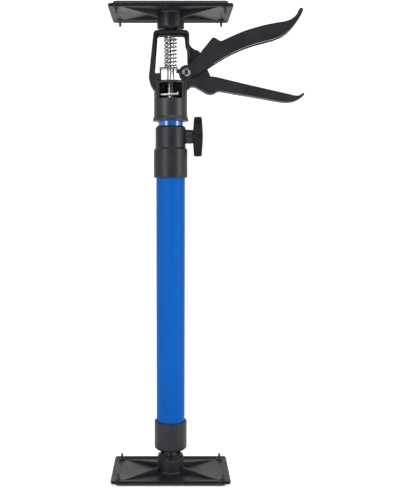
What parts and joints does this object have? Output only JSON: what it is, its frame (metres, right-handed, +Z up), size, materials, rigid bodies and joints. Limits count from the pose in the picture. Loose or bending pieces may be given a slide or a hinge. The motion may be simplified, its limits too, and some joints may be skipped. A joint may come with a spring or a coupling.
{
  "type": "telescopic support prop",
  "caption": "Telescopic support prop with ball-jointed end plates, a clamp collar and a squeeze-lever lift head, for holding boards or cabinets up while they are fixed.",
  "frame": {"origin": "centre of the foot pad's underside, on the pole's axis", "axes": "+Z up along the pole, +X towards the two grips, +Y away from the viewer of the picture"},
  "size_m": [0.1994, 0.075, 0.4904],
  "materials": {
    "black_plastic": "fine moulded texture",
    "rubber": "matt",
    "blue_paint": "satin powder coat",
    "zinc": "bright zinc plate",
    "steel": "drawn steel"
  },
  "bodies": {
    "foot": {"base_plate": "black_plastic", "base_pad": "rubber"},
    "foot_ring": {"base_socket_ring": "black_plastic"},
    "foot_ball": {"base_ball": "black_plastic"},
    "mast": {"foot_cap": "black_plastic", "outer_tube": "blue_paint", "clamp_collar": "black_plastic", "clamp_nut": "zinc"},
    "clamp_tip": {"clamp_pressure_pad": "black_plastic"},
    "knob": {"clamp_knob": "black_plastic", "clamp_screw": "steel"},
    "guide": {"inner_tube_guide": "black_plastic"},
    "head": {"inner_tube": "blue_paint", "head_housing": "black_plastic", "trigger_rivet": "steel", "lock_spring": "zinc"},
    "trigger": {"trigger_lever": "black_plastic"},
    "drive": {"drive_plate": "zinc", "drive_spring": "zinc"},
    "lock": {"lock_plate": "zinc"},
    "rod": {"hex_rod": "steel", "rod_stop": "black_plastic"},
    "stud": {"top_ball_stud": "black_plastic"},
    "top_ring": {"top_socket_ring": "black_plastic"},
    "top": {"top_plate": "black_plastic", "top_pad": "rubber"}
  },
  "joints": [
    {"name": "foot_swivel", "type": "hinge", "parent": "foot", "child": "foot_ring", "pos_m": [0, 0, 0.0158], "axis": [0, 0, 1], "continuous": true},
    {"name": "foot_tilt", "type": "hinge", "parent": "foot_ring", "child": "foot_ball", "pos_m": [0, 0, 0.0158], "axis": [0, 1, 0], "range_deg": [-20, 20]},
    {"name": "pole_spin", "type": "hinge", "parent": "foot_ball", "child": "mast", "pos_m": [0, 0, 0.0158], "axis": [0, 0, 1], "continuous": true},
    {"name": "clamp_tip_slide", "type": "slide", "parent": "mast", "child": "clamp_tip", "axis": [1, 0, 0], "range_m": [0, 0.0012]},
    {"name": "knob_turn", "type": "hinge", "parent": "clamp_tip", "child": "knob", "pos_m": [0.023, 0, 0.3595], "axis": [1, 0, 0], "range_deg": [0, 540]},
    {"name": "tube_slide", "type": "slide", "parent": "mast", "child": "guide", "axis": [0, 0, 1], "range_m": [0, 0.23]},
    {"name": "tube_turn", "type": "hinge", "parent": "guide", "child": "head", "pos_m": [0, 0, 0.3517], "axis": [0, 0, 1], "continuous": true},
    {"name": "trigger_squeeze", "type": "hinge", "parent": "head", "child": "trigger", "pos_m": [0.016, 0, 0.4248], "axis": [0, 1, 0], "range_deg": [0, 22], "stiffness_Nm_per_rad": 1.5, "springref_deg": -8.59},
    {"name": "drive_lift", "type": "slide", "parent": "head", "child": "drive", "axis": [0, 0, 1], "range_m": [0, 0.0039], "deforming": ["drive_spring"]},
    {"name": "lock_release", "type": "hinge", "parent": "head", "child": "lock", "pos_m": [0.0086, 0, 0.4015], "axis": [0, 1, 0], "range_deg": [0, 4], "stiffness_Nm_per_rad": 0.1, "springref_deg": -5.73},
    {"name": "rod_lift", "type": "slide", "parent": "head", "child": "rod", "axis": [0, 0, 1], "range_m": [0, 0.16]},
    {"name": "top_spin", "type": "hinge", "parent": "rod", "child": "stud", "pos_m": [0, 0, 0.4746], "axis": [0, 0, 1], "continuous": true},
    {"name": "top_tilt", "type": "hinge", "parent": "stud", "child": "top_ring", "pos_m": [0, 0, 0.4746], "axis": [0, 1, 0], "range_deg": [-11, 11]},
    {"name": "top_swivel", "type": "hinge", "parent": "top_ring", "child": "top", "pos_m": [0, 0, 0.4746], "axis": [0, 0, 1], "continuous": true}
  ],
  "couplings": [
    {"joint": "knob_turn", "follows": "clamp_tip_slide", "rad_per_m": 7854},
    {"joint": "drive_lift", "follows": "trigger_squeeze", "m_per_rad": 0.00995}
  ]
}
